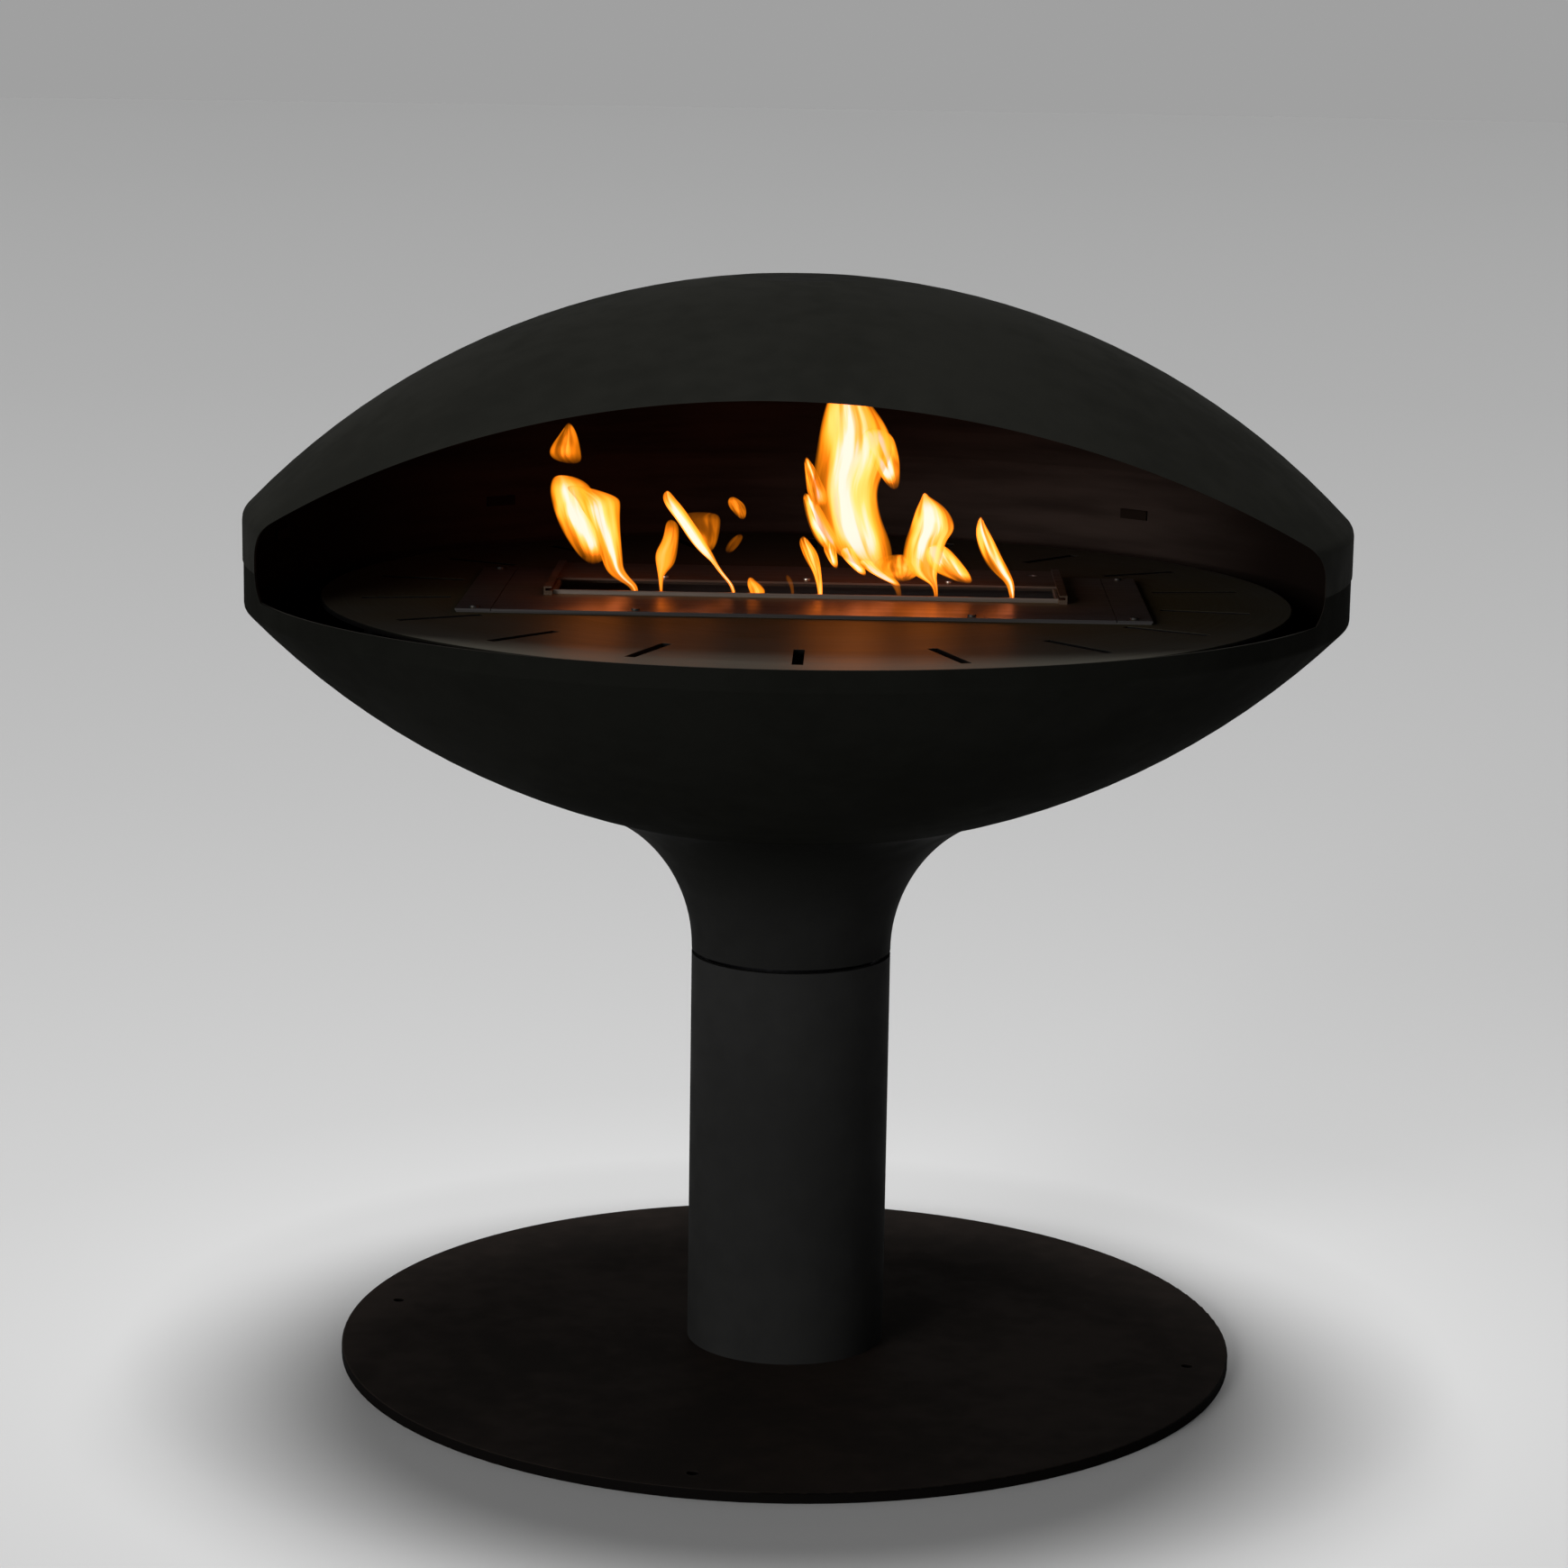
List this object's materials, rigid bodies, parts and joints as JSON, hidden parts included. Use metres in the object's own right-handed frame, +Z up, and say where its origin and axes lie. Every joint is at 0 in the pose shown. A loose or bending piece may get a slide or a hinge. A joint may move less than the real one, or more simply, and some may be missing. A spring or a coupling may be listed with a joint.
{
  "type": "pedestal fireplace",
  "caption": "Free-standing round fireplace: lens-shaped head with a wide front mouth turns on a column and base plate; slotted hearth with slot burner and sliding lid.",
  "frame": {"origin": "centre of the base plate's underside, on the column's axis", "axes": "+Z up along the column, -Y out of the front mouth, +X to the right seen from the front"},
  "size_m": [1.0519, 1.051, 1.052],
  "materials": {
    "powder_coat": "matte black powder coat",
    "hearth_steel": "dark satin steel",
    "plain_steel": "plain steel",
    "burner_steel": "brushed, heat-darkened",
    "bright_steel": "bright",
    "bronze": "plain",
    "ceramic_wool": "soft fibre"
  },
  "bodies": {
    "stand": {"base_plate": "powder_coat", "foot_flange": "plain_steel", "foot_bolts": "bright_steel", "column_tube": "powder_coat", "column_head": "plain_steel", "lower_race": "bright_steel", "bearing_balls": "bright_steel", "ball_cage": "bronze", "swivel_spindle": "bright_steel", "spindle_washer": "bright_steel", "spindle_nut": "bright_steel"},
    "head": {"bowl_bolts": "bright_steel", "bowl_plate": "plain_steel", "bowl_shell": "powder_coat", "burner_end_left": "burner_steel", "burner_end_right": "burner_steel", "burner_screws": "bright_steel", "burner_tank": "burner_steel", "burner_top": "burner_steel", "core_collar": "plain_steel", "core_tube": "plain_steel", "crown_plate": "powder_coat", "hearth_disc": "hearth_steel", "hearth_post_1": "plain_steel", "hearth_post_2": "plain_steel", "hearth_post_3": "plain_steel", "hearth_post_4": "plain_steel", "hearth_post_5": "plain_steel", "hearth_post_6": "plain_steel", "hearth_ring": "hearth_steel", "hood_shell": "powder_coat", "hub_bush": "bronze", "hub_plate": "plain_steel", "lid_rail_left": "burner_steel", "lid_rail_right": "burner_steel", "neck_skin": "powder_coat", "seam_tab_1": "powder_coat", "seam_tab_2": "powder_coat", "seam_tab_3": "powder_coat", "seam_tab_4": "powder_coat", "seam_tab_5": "powder_coat", "slot_collar": "burner_steel", "upper_race": "bright_steel", "wool_filling": "ceramic_wool"},
    "lid": {"lid_plate": "burner_steel", "lid_stiffener": "burner_steel", "lid_rivets": "bright_steel"}
  },
  "joints": [
    {"name": "head_swivel", "type": "hinge", "parent": "stand", "child": "head", "pos_m": [0, 0, 0.401], "axis": [0, 0, 1], "continuous": true},
    {"name": "lid_slide", "type": "slide", "parent": "head", "child": "lid", "axis": [0.0297, -0.9996, 0], "range_m": [0, 0.073]}
  ]
}
